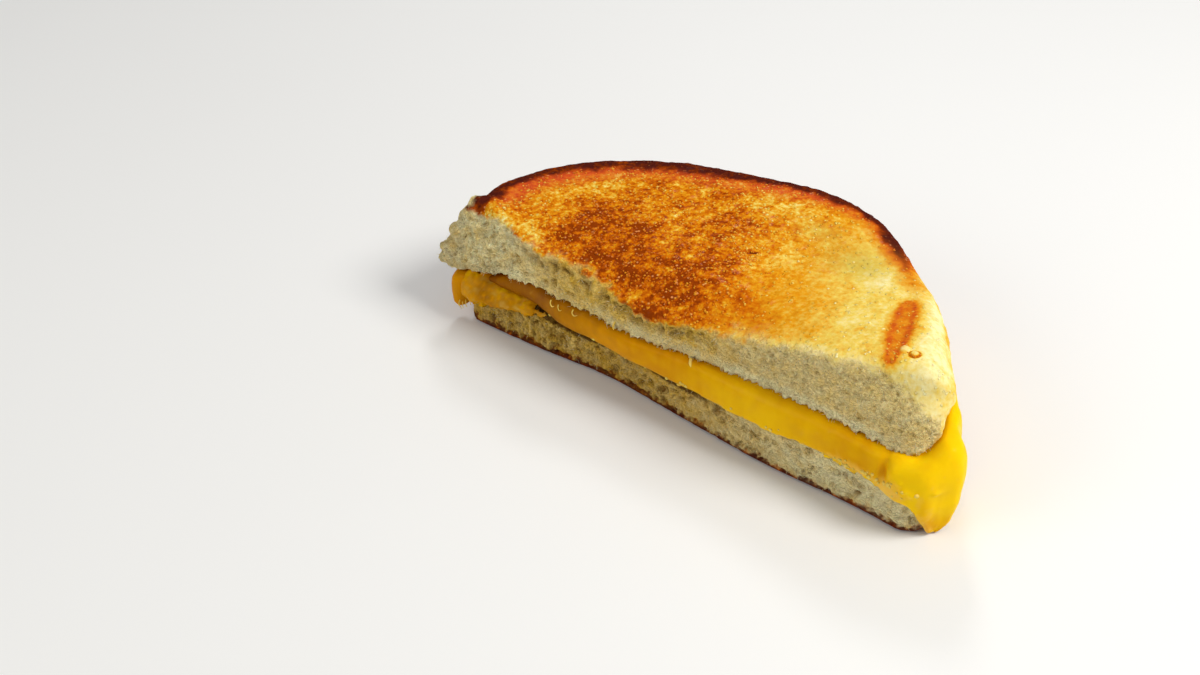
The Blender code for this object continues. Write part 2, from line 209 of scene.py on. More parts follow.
class Skin:
    """The points of a piece as arrays in mm, to press, pull and mark them."""

    def __init__(self, piece):
        self.mesh = piece.data
        self.count = len(self.mesh.vertices)
        self.place = self.vectors(self.mesh.vertices, "co") / MM
        self.normal = self.vectors(self.mesh.vertex_normals, "vector")
        self.up = self.normal[:, 2]
        self.x, self.y, self.z = (self.place - np.array(MIDDLE) / MM).T

    def vectors(self, source, name):
        values = np.empty(self.count * 3)
        source.foreach_get(name, values)
        return values.reshape(-1, 3)

    def move(self, step):
        moved = ((self.place + step) * MM).astype(np.float32)
        self.mesh.vertices.foreach_set("co", moved.ravel())
        self.mesh.update()

    def along(self, start, end):
        """0 before start along the cut, 1 beyond end, and smooth between them."""
        return rise(start, end, self.x)

    def inward(self, start, end):
        """The same for places in from the cut."""
        return rise(start, end, self.y)

    def above(self, start, end):
        """The same for heights."""
        return rise(start, end, self.z)

    def waves(self, size, seed, octaves=1):
        return waves(self.place, size, seed, octaves)

    def bumps(self, size, seed, width, lowest, highest):
        """Round bumps, 1 at the middle of the highest. Cells with an own number below lowest have none."""
        near, _, own = cells(self.place, size, seed)
        return np.exp(-((near / width) ** 2)) * rise(lowest, highest, own)

    def mark(self, **marks):
        """Keeps numbers for each point, which the materials read by name."""
        for name, values in marks.items():
            attribute = self.mesh.attributes.new(name, "FLOAT", "POINT")
            shares = np.broadcast_to(np.clip(values, 0.0, 1.0), self.count)
            attribute.data.foreach_set("value", shares.astype(np.float32))

    def kept(self, name):
        values = np.empty(self.count)
        self.mesh.attributes[name].data.foreach_get("value", values)
        return values

    def from_place(self, place):
        """Distance from every point to the place, in the plan."""
        return np.hypot(self.x - place.x, self.y - place.y)

    def reach(self, chosen, flat=False):
        """Distance from every point to the nearest one that is chosen, in space or in the plan."""
        places = self.place * ((MM, MM, 0) if flat else MM)
        rim = np.flatnonzero(chosen)
        tree = kdtree.KDTree(len(rim))
        for number, index in enumerate(rim):
            tree.insert(places[index], number)
        tree.balance()
        return np.array([tree.find(place)[2] for place in places]) / MM


def put(name, data):
    """A new object in the scene."""
    made = bpy.data.objects.new(name, data)
    bpy.context.scene.collection.objects.link(made)
    return made


def piece_of(form, name):
    """A new piece made of the form, which is used up."""
    mesh = bpy.data.meshes.new(name)
    form.to_mesh(mesh)
    form.free()
    return put(name, mesh)


def apply_modifiers(piece):
    graph = bpy.context.evaluated_depsgraph_get()
    mesh = bpy.data.meshes.new_from_object(piece.evaluated_get(graph))
    piece.modifiers.clear()
    piece.data = mesh


def even_copy(node, name, grain, rounds):
    """A copy of a node's form, made of small even faces and smoothed as often as rounds says."""
    form = bmesh.new()
    form.from_mesh(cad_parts[node].data)
    bmesh.ops.remove_doubles(form, verts=form.verts, dist=MERGE_DISTANCE)
    piece = piece_of(form, name)
    even = piece.modifiers.new("even", "REMESH")
    even.mode = "VOXEL"
    even.voxel_size = grain
    rounding = piece.modifiers.new("rounding", "SMOOTH")
    rounding.factor = 0.5
    rounding.iterations = rounds
    apply_modifiers(piece)
    return piece


def refine(piece, chosen):
    """Halves the edges where chosen, an array with a number for each point, is over a half."""
    form = bmesh.new()
    form.from_mesh(piece.data)
    inside = chosen > 0.5
    edges = [e for e in form.edges if inside[e.verts[0].index] and inside[e.verts[1].index]]
    bmesh.ops.subdivide_edges(form, edges=edges, cuts=1, use_grid_fill=True)
    form.to_mesh(piece.data)
    form.free()


def finish_piece(piece, material, slot, *nodes):
    """Rounds the shading of a piece, gives it its finish, hangs it under the root and hides the nodes it
    stands for. slot is not used.
    """
    piece.data.materials.clear()
    piece.data.materials.append(material)
    piece.data.shade_smooth()
    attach(piece, "root")
    if nodes:
        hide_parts(*nodes)


def crumb_pores(skin, crumb, size):
    """How far into a pore the points of the crumb lie: 0 on a wall or thread, 1 in the middle of a pore.
    """
    shown = crumb > 0.01
    points = skin.place[shown]
    bend = np.stack([waves(points, 1.8 * size, seed) for seed in (21, 22, 23)], axis=1)
    bent = points + 0.8 * size * bend
    _, wall, own = cells(bent, (1.5 * size, 1.3 * size, 1.1 * size), 24)
    holes = rise(0.08, 0.5, wall) * (0.25 + 0.75 * own)
    _, wide_wall, wide_own = cells(bent, (2.9 * size, 2.6 * size, 2.0 * size), 26)
    wide_holes = rise(0.1, 0.5, wide_wall) * rise(0.68, 0.8, wide_own)
    threads = 1 - np.abs(waves(bent, (0.9 * size, 0.9 * size, 0.6 * size), 25)) / 0.22
    pore = np.zeros(skin.count)
    pore[shown] = np.clip(holes + 0.6 * wide_holes - 0.45 * np.clip(threads, 0, 1), 0.0, 1.0)
    return pore


def toast_relief(skin, look):
    """Height of the blisters and dimples of a browned face."""
    blisters = skin.bumps(1.5, 14, width=0.42, lowest=0.35, highest=0.9)
    dimples = skin.waves(2.6, 15, 2)
    return look.blister / MM * (1.1 * blisters + 0.75 * dimples + 0.35 * skin.waves(0.95, 16))


def crust_relief(skin, look):
    """Height of the wrinkles of the crust."""
    return look.blister / MM * (1.4 * skin.waves(2.4, 17, 2) + 0.8 * skin.waves(1.1, 18))


# The upper slice

DARK_SPOTS = (
    (-22, 11, 9, 7, 0.08),
    (-6, 32, 5, 3, 0.16),
    (-38, 22, 7, 5, 0.08),
    (2, 5, 7, 4, 0.06),
    (14, 8, 6, 4, 0.07),
    (37.5, 33, 2.2, 1.8, 0.26),
    (47.5, 7, 5, 4, 0.1),
)
PALE_SPOTS = (
    (-47, 4, 6, 4, -0.12),
    (27, 30, 7, 6, -0.06),
    (11, 24, 6, 5, -0.06),
)
GREEN_SPOTS = (
    (24, 33, 7, 5, 0.6),
    (11, 38, 5, 3, 0.35),
)
STREAK_TOP = Vector((40.9, 24.7))  # where a fold of the crust browned in the pan
STREAK_FOOT = Vector((48.6, 5.2))
STREAK_WIDTH = 1.75
RING_BUBBLE = Place(51.9, 8.1)
PALE_BUBBLE = Place(49.4, 8.6)
SLIT = Place(3.4, 24.5)
SLIT_LENGTH, SLIT_WIDTH = 1.9, 0.55
SLIT_TURN = math.radians(35)
DETAIL_REACH = 3.5  # how far round these the faces are halved
RIM_WIDTH = 3.8
FRINGE_LENGTH = 1.1
HOLLOW_DEPTH = 1.1
TORN_LUMPS = 1.3  # how far the torn left end swells, and how far its lower rim is lifted

# Height of the lip of the toast, from place to place along the cut
LIP_PLACES = (-62, -55, -48, -41, -34, -27, -20, -10, -5, 7, 17, 26, 35, 46, 53, 61)
LIP_HEIGHTS = (
    27, 27.6, 28.2, 27.9, 27.3, 26.7, 25.8, 23.8, 23.2, 25.2, 27.2, 29.5, 31.8, 32.4, 28.8, 24.5
)


def upper_crumb(skin):
    """1 where the upper slice shows its crumb: along the cut, and at the torn left end."""
    rough_edge = 0.9 * skin.waves(3, 5) + 0.8 * skin.waves(1.2, 6, 2)
    lip = np.interp(skin.x, LIP_PLACES, LIP_HEIGHTS)
    softness = 0.4 + 1.2 * skin.along(4, 24)
    rougher = 0.8 + 0.6 * skin.along(4, 24)
    cut = rise(softness, -softness, skin.z - lip - rougher * rough_edge)
    cut *= rise(0.1, 0.35, -skin.normal[:, 1]) * skin.inward(9, 7)
    cut *= rise(61.8, 60, skin.x + 0.5 * rough_edge)
    torn = rise(0.3, 0.55, -skin.normal[:, 0] + 0.2 * rough_edge)
    torn *= rise(9.5, 7.5, skin.y + rough_edge) * (skin.x < -50)
    return np.maximum(cut, torn)


def browning(skin):
    """How brown the face of the upper slice is, from 0 to 1, apart from its mottling."""
    across = skin.x + 0.35 * (skin.y - 15)
    toast = 0.68 - 0.29 * rise(-6, 18, across)
    toast -= 0.2 * rise(20, 38, across) + 0.14 * rise(40, 54, across)
    toast -= 0.22 * skin.along(-33, -46)
    toast -= 0.17 * skin.inward(16, 30) * skin.along(8, -8)
    return toast + spots_at(skin.x, skin.y, DARK_SPOTS + PALE_SPOTS)


def streak_shape(skin):
    """How far across the browned fold each point lies, in widths, and how far along it, from 0 to 1."""
    along = STREAK_FOOT - STREAK_TOP
    x, y = skin.x - STREAK_TOP.x, skin.y - STREAK_TOP.y
    part = np.clip((x * along.x + y * along.y) / along.length_squared, 0.0, 1.0)
    off = np.hypot(x - part * along.x, y - part * along.y)
    width = STREAK_WIDTH * (0.55 + 0.6 * np.sin(math.pi * np.clip(0.85 * part + 0.12, 0, 1)))
    return (off + 0.35 * skin.waves(1.3, 33, 2)) / width, part


def slit_shape(skin):
    """1 in the middle of the slit in the crust, and less towards its ends."""
    x, y = skin.x - SLIT.x, skin.y - SLIT.y
    along = x * math.cos(SLIT_TURN) + y * math.sin(SLIT_TURN)
    across = y * math.cos(SLIT_TURN) - x * math.sin(SLIT_TURN)
    return np.exp(-((along / SLIT_LENGTH) ** 2) - (across / SLIT_WIDTH) ** 2)


class SANDWICH_OT_upper_slice(bpy.types.Operator):
    """Browns the upper slice, opens the crumb at its cut and tears its left end"""

    bl_idname = "sandwich.upper_slice"
    bl_label = "Upper slice"

    def execute(self, context):
        look = context.scene.bread_look
        piece = even_copy("bread_top", "upper_slice", look.grain, rounds=5)
        skin = Skin(piece)
        facing = rise(0.75, 0.35, skin.up)
        details = (RING_BUBBLE, PALE_BUBBLE, SLIT)
        near = [skin.from_place(place) < DETAIL_REACH for place in details]
        on_face = np.any(near, axis=0) & (skin.up > 0.3)
        refine(piece, np.maximum(upper_crumb(skin) * facing, on_face))

        skin = Skin(piece)
        crumb = upper_crumb(skin)
        right_end = rise(30, 48, skin.x + 0.35 * (skin.y - 26))
        outer = np.maximum(skin.inward(5, 8), skin.along(57, 59))
        crust = rise(0.66, 0.4, np.abs(skin.up)) * (1 - crumb) * outer
        uneven = skin.waves(2.6, 31, 2)
        steep = 0.62 + 0.14 * skin.along(-26, -46)
        from_crust = skin.reach((np.abs(skin.up) < steep) & (crumb < 0.5) & (outer > 0.3), flat=True)
        from_crust += 1.1 * uneven
        from_crumb = skin.reach(crumb > 0.5) + 0.5 * uneven
        from_skin = skin.reach((crumb < 0.4) & (skin.up > 0)) + 0.4 * uneven
        from_under = skin.reach(skin.up < -0.7) + 0.3 * uneven

        toast = browning(skin) + 0.05 * skin.waves(6.5, 35, 2)
        lip = 1.0 + 2.0 * skin.along(-34, -42) + 1.2 * skin.along(8, 24)
        palest = 0.32 - 0.22 * skin.along(14, 34)
        paled = 0.9 - 0.35 * bell(skin.x, -12, 22) + 0.4 * uneven
        paled = np.clip(paled, 0, 1) * np.exp(-((np.maximum(from_crumb, 0) / lip) ** 2))
        toast = palest + (toast - palest) * (1 - paled)
        blush_width = 1 - 0.42 * skin.along(-6, 18)
        blush = rise(12, 5.5, from_crust / blush_width) * skin.inward(5, 12) * (1 - right_end)
        toast += (0.54 - 0.1 * skin.along(0, 30) - toast) * blush
        rim_width = RIM_WIDTH + 2.2 * bell(skin.x, -26, 22) - 0.9 * skin.along(0, 18)
        rim = rise(1.5, 0.75, from_crust / rim_width) * skin.inward(3, 6)
        rim *= 1 - rise(0.0, 0.6, right_end)
        toast += (1.0 - toast) * rim
        streak, along = streak_shape(skin)
        in_streak = rise(1.5, 0.6, streak)
        toast = np.maximum(toast, 0.38 * rise(3.3, 1.0, streak))
        ribs = 0.05 * skin.waves((3, 1.3, 3), 38)
        toast += (0.47 + ribs + 0.22 * bell(streak, 0.95, 0.3) - toast) * in_streak
        toast += (0.9 - 0.3 * skin.above(26, 18) - toast) * crust * (1 - right_end)
        toast += (0.1 + 0.3 * np.abs(skin.waves(7, 34, 2)) - toast) * crust * right_end
        slit = slit_shape(skin)
        toast = np.maximum(toast, 1.2 * slit)

        closed = 1 - skin.along(-50, -44) * skin.along(20, -12)
        pore = crumb_pores(skin, crumb, 1.7 * look.pore / MM) * (1 - closed)
        pore += crumb_pores(skin, crumb, 0.8 * look.pore / MM) * closed
        fringe = rise(2.6 + 1.6 * bell(skin.x, -8, 18), 0.9, from_under)
        fringe *= 0.45 + 0.55 * skin.along(-26, -14) * skin.along(56, 44)
        # Painted shade: a dark band on the crumb just under the lip of the toast, at the left part of the
        # cut, where the crumb is also pressed in
        left_cut = skin.along(-50, -42) * skin.along(12, 2)
        patchy = 0.65 + 1.1 * skin.waves((1.8, 3, 3), 36)
        hollow = left_cut * bell(from_skin, 2.0, 1.1) * np.clip(patchy, 0, 1) * (1 - fringe)
        pore *= 1 - 0.55 * fringe
        torn_end = skin.along(-46, -54)
        pore *= 1 - 0.25 * torn_end - 0.45 * skin.along(2, 20)
        soaked = skin.along(-44, -52) * rise(4.2, 1.0, from_under)
        soaked = np.maximum(soaked, skin.along(-60, -64)) * crumb * (1 - hollow)

        face = (1 - crumb) * rise(0.25, 0.6, skin.up)
        inner = rise(-0.3, -0.7, skin.up)
        height = toast_relief(skin, look) * face * (1 - 0.6 * right_end)
        height += crust_relief(skin, look) * crust
        height -= (look.pore_depth / MM * pore + HOLLOW_DEPTH * hollow) * crumb * (1 - inner)
        lumps = skin.waves(3.4, 37, 2) - 0.25
        height += 0.3 * skin.waves(2.2, 39, 2) * torn_end * crumb
        torn_front = torn_end * skin.inward(10, 7)
        height += (TORN_LUMPS + 1.1 * lumps) * torn_front * rise(0.6, 3.4, from_under) * (1 - inner)
        height -= 0.35 * slit + 0.3 * in_streak * np.sin(math.pi * along)
        elsewhere = 9 * (skin.up <= 0.3)
        from_ring = skin.from_place(RING_BUBBLE) + elsewhere
        height += 0.4 * rise(1.2, 0.5, from_ring)
        toast = np.maximum(toast, 0.7 * bell(from_ring, 1.0, 0.3))
        pale = rise(1.3, 0.6, skin.from_place(PALE_BUBBLE) + elsewhere)
        height += 0.45 * pale
        toast *= 1 - 0.7 * pale

        # A ragged fringe hangs over the cheese along the lower rim of the cut
        edge = crumb * rise(0.2, -0.3, skin.up) * rise(-0.98, -0.8, skin.up)
        teeth = np.maximum(0.0, skin.waves((0.9, 2, 2), 41, 2) + 0.2)
        step = skin.normal * height[:, None]
        step += np.outer(FRINGE_LENGTH * teeth * edge * (1 - 0.7 * torn_end), (0.0, -0.7, -0.6))
        lifted = skin.along(-42, -50) * rise(3.2, 0.8, from_under)
        lifted *= skin.inward(8, 5) * skin.along(-63, -58)
        step[:, 2] += TORN_LUMPS * lifted
        skin.move(step)
        reddish = blush * (1 - rim) * (1 - 0.5 * skin.along(-6, 18))
        calm = np.maximum(0.5 * in_streak, 0.6 * skin.along(-4, 22))
        skin.mark(
            crumb=crumb,
            pore=pore,
            toast=toast,
            blush=np.maximum(reddish, 0.3 * in_streak + 0.3 * bell(streak, 1.0, 0.4)),
            green=spots_at(skin.x, skin.y, GREEN_SPOTS),
            hollow=0.84 * hollow + 0.42 * soaked,
            fringe=fringe * crumb * (1 - soaked),
            mottled=(1 - np.maximum(calm, 0.65 * right_end)) * (1 - 0.5 * rim),
            fresh=0.2 + 0.62 * skin.along(-26, -50) + 0.4 * skin.along(4, 22),
        )
        finish_piece(piece, bread_material("upper_bread", look), "bread", "bread_top")
        return {"FINISHED"}


# The lower slice

def lower_crumb(skin):
    """1 where the lower slice shows its crumb, along the cut."""
    facing = rise(-0.15, -0.5, skin.normal[:, 1] - 0.25 * skin.up)
    front = skin.inward(CUT + 4.5, CUT + 3.0)
    return facing * front * rise(0.5, 1.3, skin.z + 0.5 * skin.waves(2, 51))


class SANDWICH_OT_lower_slice(bpy.types.Operator):
    """Browns the underside of the lower slice and opens the crumb at its cut"""

    bl_idname = "sandwich.lower_slice"
    bl_label = "Lower slice"

    def execute(self, context):
        look = context.scene.bread_look
        piece = even_copy("bread_bottom", "lower_slice", look.grain, rounds=5)
        skin = Skin(piece)
        front = (skin.y < CUT + 3) & (skin.normal[:, 1] < -0.1)
        refine(piece, front.astype(float))

        skin = Skin(piece)
        crumb = lower_crumb(skin)
        under = rise(-0.35, -0.75, skin.up)
        crust = rise(0.62, 0.35, np.abs(skin.up)) * (1 - skin.inward(CUT + 5, CUT + 3))
        pore = crumb_pores(skin, crumb, 1.5 * look.pore / MM)
        ragged = skin.waves(2.2, 52, 3)
        left = skin.along(20, -20)
        grainy = ragged + 0.8 * skin.waves(0.7, 54)
        # The browned foot of the cut, dark as charred crust and as painted contact shade
        foot = rise(3.0, 0.3, skin.z - 0.9 * left + 1.1 * grainy)
        shown = np.flatnonzero((skin.y < CUT + 3) & (skin.z > 6))
        # Painted shadow: a dark line on the crumb just under the edge of the cheese ribbon
        from_cheese = surface_distance(skin, shown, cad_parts["cheese"].name) + 0.3 * ragged
        gap = rise(3.9, 2.7, from_cheese) * skin.along(24, 4) * skin.along(-48, -41)
        # Painted shade: the low part of the left end is darkened
        left_end_shade = skin.along(-40, -56) * rise(9.5, 6, skin.z + 2 * ragged)
        # Painted shadow under the recessed left part of the cheese ribbon
        shadow_under_ribbon = bell(skin.x, -36, 7) * skin.above(9.4, 10.6)
        # Darker towards the left, along the ragged noise and in threads: partly browned crumb, partly
        # painted shade
        brown = 0.2 + 0.4 * skin.along(44, -30) + 0.4 * np.maximum(ragged, 0)
        threads = skin.waves((0.8, 2, 3), 53, 2)
        brown += 1.0 * threads * skin.along(0, -40)
        hollow = np.clip(brown + 0.3 * left_end_shade + shadow_under_ribbon, 0, 0.78) * (skin.y < 6)
        hollow = np.maximum(hollow, np.maximum(0.97 * foot, gap))
        toast = np.maximum(0.56 + 0.31 * crust, 0.85 * (crumb > 0.02))
        toast = toast * (1 - under) + under * np.maximum(browning(skin), 0.7)
        scorched = rise(2.0, 0.8, skin.z - 0.4 * left + 0.9 * grainy) * (skin.y < 8)
        toast = np.maximum(toast, 0.98 * scorched)
        height = crust_relief(skin, look) * crust
        height -= (1.1 * look.pore_depth / MM * pore + 0.4 * hollow) * crumb
        height += 0.7 * np.maximum(ragged, 0) * foot * crumb
        height -= 0.5 * np.abs(toast_relief(skin, look)) * under
        step = skin.normal * height[:, None]
        step[:, 2] = np.maximum(step[:, 2], -skin.z)
        skin.move(step)
        skin.mark(
            crumb=crumb * (1 - 0.65 * scorched),
            pore=pore,
            toast=toast,
            blush=0.0,
            green=0.0,
            hollow=hollow,
            fringe=0.35 * crumb * (1 - hollow),
            mottled=1 - 0.7 * scorched,
            fresh=0.1 + 0.75 * skin.along(-10, 50),
        )
        finish_piece(piece, bread_material("lower_bread", look), "bread", "bread_bottom")
        return {"FINISHED"}


# The cheese

# Spots of cheese are seen from the front: their places are along the cut and up
CREASES = (
    (53.2, 14.2, 0.8, 2.6, 1.0),
    (-37.5, 10.4, 6, 1.2, 0.8),
    (-20, 10.8, 14, 0.7, 0.5),
)
BUBBLES = (
    (55.4, 15.2, 1.4, 1.5, 1.0),
    (58.3, 12.3, 0.8, 0.6, 1.0),
    (59.6, 11.7, 0.6, 0.6, 0.8),
    (63.4, 12.3, 0.7, 0.6, 0.9),
    (57.2, 13.6, 0.6, 0.6, 0.7),
)
THIN_CHEESE = (
    (45, 11.2, 6, 1.5, 1.0),
    (55, 10.6, 4, 1.8, 1.0),
    (61.5, 4.0, 2, 4.0, 0.6),
)
# Painted shade on the cheese, by place along the cut and up, radii and amount; the negative spot paints
# light at the top of the curtain, under the upper slice
CHEESE_SHADES = (
    (53.2, 14.2, 1.0, 2.4, 0.22),
    (47, 12.6, 6, 2.4, 0.1),
    (63, 3, 4, 3.4, 0.26),
    (61, 14.5, 2.5, 3, -0.14),
    (56, 9, 3, 3, 0.12),
)


class SANDWICH_OT_cheese(bpy.types.Operator):
    """Melts the cheese between the slices and where it hangs out of them"""

    bl_idname = "sandwich.cheese"
    bl_label = "Melted cheese"

    def execute(self, context):
        look = context.scene.cheese_look
        piece = even_copy("cheese", "melted_cheese", look.grain, rounds=16)
        skin = Skin(piece)
        refine(piece, ((skin.y < 4) & (skin.x > 38) & (skin.normal[:, 1] < 0.3)).astype(float))
        skin = Skin(piece)
        broad = skin.waves((7, 7, 10), 61, 2)
        runs = skin.waves((1.7, 2.4, 14), 62)
        bubbles = skin.bumps(4.5, 63, width=0.16, lowest=0.8, highest=0.95)
        folds = skin.waves((4.6, 4.6, 14), 64) * skin.along(54, 60)
        height = look.closing + look.wave * (0.8 * broad + 0.25 * runs + 1.2 * bubbles + 3.6 * folds)
        height /= MM
        front = skin.y < 3
        height -= 0.8 * spots_at(skin.x, skin.z, CREASES) * front
        height += 0.6 * spots_at(skin.x, skin.z, BUBBLES) * front
        hanging = skin.along(60, 64)
        height -= (0.6 * skin.above(15, 9) + 1.1 * skin.above(9, 3)) * hanging
        ragged = skin.waves(1.6, 65, 2)
        thin = np.clip(1.5 * spots_at(skin.x, skin.z, THIN_CHEESE) - 0.35 + 0.6 * ragged, 0, 1) * front
        height += 0.25 * skin.bumps(1.8, 66, width=0.5, lowest=0.4, highest=0.8) * thin
        step = skin.normal * height[:, None]
        puddle = skin.above(3.2, 0.9) * skin.along(57, 59) * (skin.y < 4)
        step += puddle[:, None] * np.array((-0.5, -0.3, -0.9))
        step[:, 2] = np.maximum(step[:, 2], 0.05 - skin.z)
        skin.move(step)

        shown = np.flatnonzero((skin.y < 6) | (skin.x > 55))
        below = surface_distance(skin, shown, "lower_slice")
        above = surface_distance(skin, shown, "upper_slice")
        left = skin.along(12, -8)
        # Painted shade: darker towards the left where the ribbon lies recessed under the upper slice, in
        # lines along the lower slice and under the upper crumb, in creases and folds and low on the
        # curtain, partly the cheese's own tone; one negative spot is painted light
        deep = 0.2 * skin.along(58, 48) + 0.14 * skin.along(28, -8) - 0.1 * bell(skin.x, 22, 14)
        deep += 0.28 * skin.along(-10, -42) - 0.25 * skin.along(-54, -61)
        deep += 0.7 * left * np.exp(-below / 0.9) + 0.16 * np.exp(-above / 0.9)
        deep += spots_at(skin.x, skin.z, CHEESE_SHADES) * front + 0.2 * folds
        skin.mark(thin=thin, deep=deep)
        finish_piece(piece, cheese_material("melted_cheese", look, paleness=0.8), "cheese", "cheese")
        return {"FINISHED"}


FILM_SPOTS = (
    (-58, 9.4, 10, 3.4, 1.3),
    (-50, 10.4, 9, 2.0, 0.7),
    (-41, 10.0, 7, 2.0, 0.7),
    (47, 10.8, 9, 2.2, 1.0),
    (58, 10.0, 5, 3.0, 0.8),
    (26, 11.6, 18, 1.1, 0.8),
)
FILM_THICKNESS = 0.2 * MM


class SANDWICH_OT_cheese_film(bpy.types.Operator):
    """Spreads a thin, bubbly film of cheese over the edge of the lower slice"""

    bl_idname = "sandwich.cheese_film"
    bl_label = "Film of cheese"

    def execute(self, context):
        look = context.scene.cheese_look
        piece = even_copy("bread_bottom", "cheese_film", 0.75 * look.grain, rounds=8)
        skin = Skin(piece)
        ragged = skin.waves(1.8, 71, 3)
        cover = spots_at(skin.x, skin.z, FILM_SPOTS) - 0.42 + 0.5 * ragged
        cover -= 2.0 * (skin.y > CUT + 9)
        bubbles = skin.bumps(1.7, 72, width=0.26, lowest=0.4, highest=0.8)
        left = skin.along(-40, -50)
        uneven = 0.25 * (1 - 0.85 * left) * skin.waves(1.3, 73, 2)
        height = (0.32 + uneven) * rise(0.0, 0.45, cover)
        height += 0.35 * bubbles * rise(0.05, 0.2, cover) * (1 - 0.85 * left) - 0.15
        height += (0.9 + 0.5 * skin.waves(4, 75)) * left * rise(0.0, 0.6, cover)
        height += 1.1 * skin.along(-51, -57) * rise(0.0, 0.8, cover)
        skin.move(skin.normal * height[:, None])
        form = bmesh.new()
        form.from_mesh(piece.data)
        bare = [v for v, covered in zip(form.verts, cover > 0) if not covered]
        bmesh.ops.delete(form, geom=bare, context="VERTS")
        for _ in range(4):
            pinched = [v for v in form.verts if not v.is_manifold]
            bmesh.ops.delete(form, geom=pinched, context="VERTS")
        bmesh.ops.delete(form, geom=[e for e in form.edges if e.is_wire], context="EDGES")
        bmesh.ops.delete(form, geom=[v for v in form.verts if not v.link_faces], context="VERTS")
        form.to_mesh(piece.data)
        form.free()
        thick = piece.modifiers.new("thickness", "SOLIDIFY")
        thick.thickness = FILM_THICKNESS
        thick.offset = -1.0
        apply_modifiers(piece)
        skin = Skin(piece)
        left = skin.along(-30, -40)
        patchy = skin.waves(1.5, 74, 2)
        # Painted shade: the film darkens towards the left, in the shadow under the ribbon; the patchy part
        # is the cheese's own tone
        deep = 0.08 + 0.34 * left + 0.2 * patchy + 0.2 * left * skin.waves(5, 76)
        skin.mark(deep=deep, thin=0.3 - 0.35 * left + patchy)
        finish_piece(piece, cheese_material("cheese_film", look, paleness=0.6), "cheese")
        return {"FINISHED"}


# Materials

def maths(operation, swapped=False):
    """A method that joins a value and another one, or a number, by a maths node."""
    def joined(self, other=0.0):
        first, second = (other, self) if swapped else (self, other)
        return self.recipe.node("ShaderNodeMath", {0: first, 1: second}, operation=operation)
    return joined


class Value:
    """A number that varies over a surface. It is added and multiplied as any number is."""

    def __init__(self, recipe, socket):
        self.recipe = recipe
        self.socket = socket

    __add__ = __radd__ = maths("ADD")
    __sub__ = maths("SUBTRACT")
    __rsub__ = maths("SUBTRACT", swapped=True)
    __mul__ = __rmul__ = maths("MULTIPLY")
    size = maths("ABSOLUTE")
    at_most = maths("MINIMUM")

    def step(self, start, end):
        """0 before start, 1 after end, and smooth between them."""
        sockets = {0: self, 1: start, 2: end}
        return self.recipe.node("ShaderNodeMapRange", sockets, interpolation_type="SMOOTHSTEP")


class Recipe:
    """The nodes of one material."""

    def __init__(self, name):
        self.material = bpy.data.materials.new(name)
        self.material.use_nodes = True
        self.tree = self.material.node_tree
        self.tree.nodes.clear()
        self.place = self.node("ShaderNodeTexCoord", output="Object")

    def node(self, kind, sockets=None, output=0, **settings):
        """Adds a node, with its settings first and then the values or links of its sockets."""
        made = self.tree.nodes.new(kind)
        for setting, value in settings.items():
            setattr(made, setting, value)
        for key, value in (sockets or {}).items():
            socket = made.inputs[key]
            if isinstance(value, Value):
                self.tree.links.new(value.socket, socket)
            else:
                socket.default_value = value
        return Value(self, made.outputs[output]) if made.outputs else None

    def mark(self, name):
        """A number that the piece keeps for each of its points."""
        return self.node("ShaderNodeAttribute", output="Fac", attribute_name=name)

    def noise(self, size, detail=2.0, roughness=0.5, place=None):
        sockets = {"Vector": place or self.place, "Scale": 1 / size}
        return self.node("ShaderNodeTexNoise", {**sockets, "Detail": detail, "Roughness": roughness})

    def cells(self, size):
        return self.node("ShaderNodeTexVoronoi", {"Vector": self.place, "Scale": 1 / size})

    def stretched(self, scale):
        """Places to read a texture at, with its repeats per metre along each axis."""
        return self.node("ShaderNodeMapping", {"Vector": self.place, "Scale": scale})

    def ramp(self, value, stops):
        made = self.node("ShaderNodeValToRGB", {0: value})
        elements = made.socket.node.color_ramp.elements
        while len(elements) < len(stops):
            elements.new(0.5)
        for element, (position, colour_there) in zip(elements, stops):
            element.position = position
            element.color = (*colour_there, 1.0)
        return made

    def mix(self, factor, first, second):
        first, second = (c if isinstance(c, Value) else (*c, 1.0) for c in (first, second))
        sockets = {0: factor, 6: first, 7: second}
        return self.node("ShaderNodeMix", sockets, 2, data_type="RGBA")

    def bump(self, height, strength, distance):
        sockets = {"Height": height, "Strength": strength, "Distance": distance}
        return self.node("ShaderNodeBump", sockets)

    def finish(self, colour, roughness, coat=(), soft=(), specular=0.5, relief=None):
        """Coat is a weight and a roughness. Soft is a weight, the share of each colour and a distance."""
        sockets = {"Base Color": colour, "Roughness": roughness, "Specular IOR Level": specular}
        if relief:
            sockets["Normal"] = relief
        sockets.update(zip(("Coat Weight", "Coat Roughness"), coat))
        sockets.update(zip(("Subsurface Weight", "Subsurface Radius", "Subsurface Scale"), soft))
        shader = self.node("ShaderNodeBsdfPrincipled", sockets)
        self.node("ShaderNodeOutputMaterial", {"Surface": shader})
        return self.material


def browned(recipe, look, toast):
    """The colour of bread that is browned as far as toast says, from 0 to 1."""
    colours = (look.cream, look.straw, look.golden, look.orange, look.russet, look.umber, look.char)
    return recipe.ramp(toast, tuple(zip((0.0, 0.2, 0.38, 0.55, 0.72, 0.88, 1.0), colours)))


